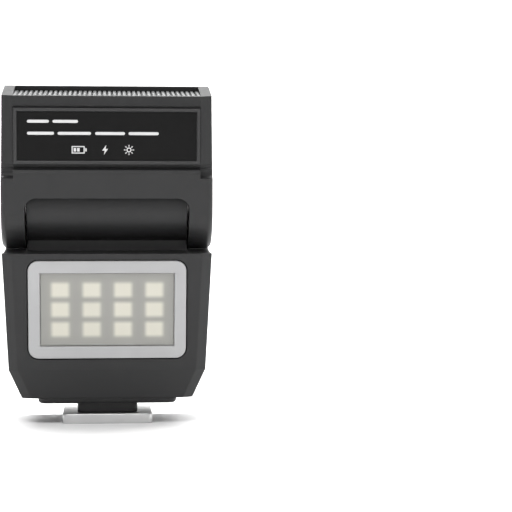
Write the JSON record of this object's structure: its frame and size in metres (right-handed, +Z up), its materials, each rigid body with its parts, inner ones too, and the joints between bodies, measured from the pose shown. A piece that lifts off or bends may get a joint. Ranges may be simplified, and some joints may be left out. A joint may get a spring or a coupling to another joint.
{
  "type": "speedlight flash",
  "caption": "Compact bounce flash with a tilting head, an LED fill panel in its leaning body and a shoe plate under it.",
  "frame": {"origin": "bottom centre of the shoe plate", "axes": "+X to the right seen from the front, -Y towards the LED panel's front, +Z up"},
  "size_m": [0.0428, 0.029, 0.0699],
  "materials": {
    "case_plastic": "fine satin texture, near black",
    "label_plastic": "smooth satin, black",
    "bezel_plastic": "light grey, smooth",
    "white_plastic": "white",
    "diffuser": "frosted",
    "lens_plastic": "clear, ribbed",
    "tube_glass": "clear",
    "led_resin": "cream phosphor",
    "circuit": "green solder mask",
    "battery_wrap": "silver pouch",
    "ferrite": "dark grey",
    "capacitor_can": "shrink sleeve",
    "copper_coil": "enamelled wire",
    "reflector": "bright",
    "screw_steel": "blackened",
    "axle_steel": "turned",
    "socket_steel": "drawn",
    "plate_metal": "satin plated",
    "contact_metal": "plated"
  },
  "bodies": {
    "base": {"body_front_shell": "case_plastic", "body_rear_shell": "case_plastic", "case_screws": "screw_steel", "led_bezel": "bezel_plastic", "led_diffuser": "diffuser", "led_light_frame": "white_plastic", "led_board": "circuit", "led_emitters": "led_resin", "battery": "battery_wrap", "main_board": "circuit", "transformer": "ferrite", "main_capacitor": "capacitor_can", "charging_socket": "socket_steel", "button_switch": "ferrite", "hinge_axle_left": "axle_steel", "hinge_axle_right": "axle_steel", "friction_washers": "axle_steel", "retaining_rings": "axle_steel", "base_tray": "case_plastic", "foot_block": "case_plastic", "foot_plate": "plate_metal", "foot_screws": "screw_steel", "contact_insulator": "case_plastic", "contact_spring": "axle_steel"},
    "head": {"head_front_shell": "case_plastic", "head_rear_shell": "case_plastic", "head_screws": "screw_steel", "label_plate": "label_plastic", "fresnel_lens": "lens_plastic", "flash_reflector": "reflector", "flash_tube": "tube_glass", "tube_sleeves": "white_plastic", "trigger_coil": "copper_coil", "hinge_cap_left": "case_plastic", "hinge_cap_right": "case_plastic"},
    "power_button": {"power_button": "bezel_plastic"},
    "centre_contact": {"centre_contact": "contact_metal"}
  },
  "joints": [
    {"name": "head_tilt", "type": "hinge", "parent": "base", "child": "head", "pos_m": [0, -0.0068, 0.0452], "axis": [1, 0, 0], "range_deg": [-13.5, 76.5]},
    {"name": "power_button_press", "type": "slide", "parent": "base", "child": "power_button", "axis": [0, -0.9848, -0.1736], "range_m": [0, 0.0004], "stiffness_N_per_m": 1500, "springref_m": -0.0004},
    {"name": "contact_press", "type": "slide", "parent": "base", "child": "centre_contact", "axis": [0, 0, 1], "range_m": [0, 0.00035], "stiffness_N_per_m": 500, "deforming": ["contact_spring"]}
  ]
}
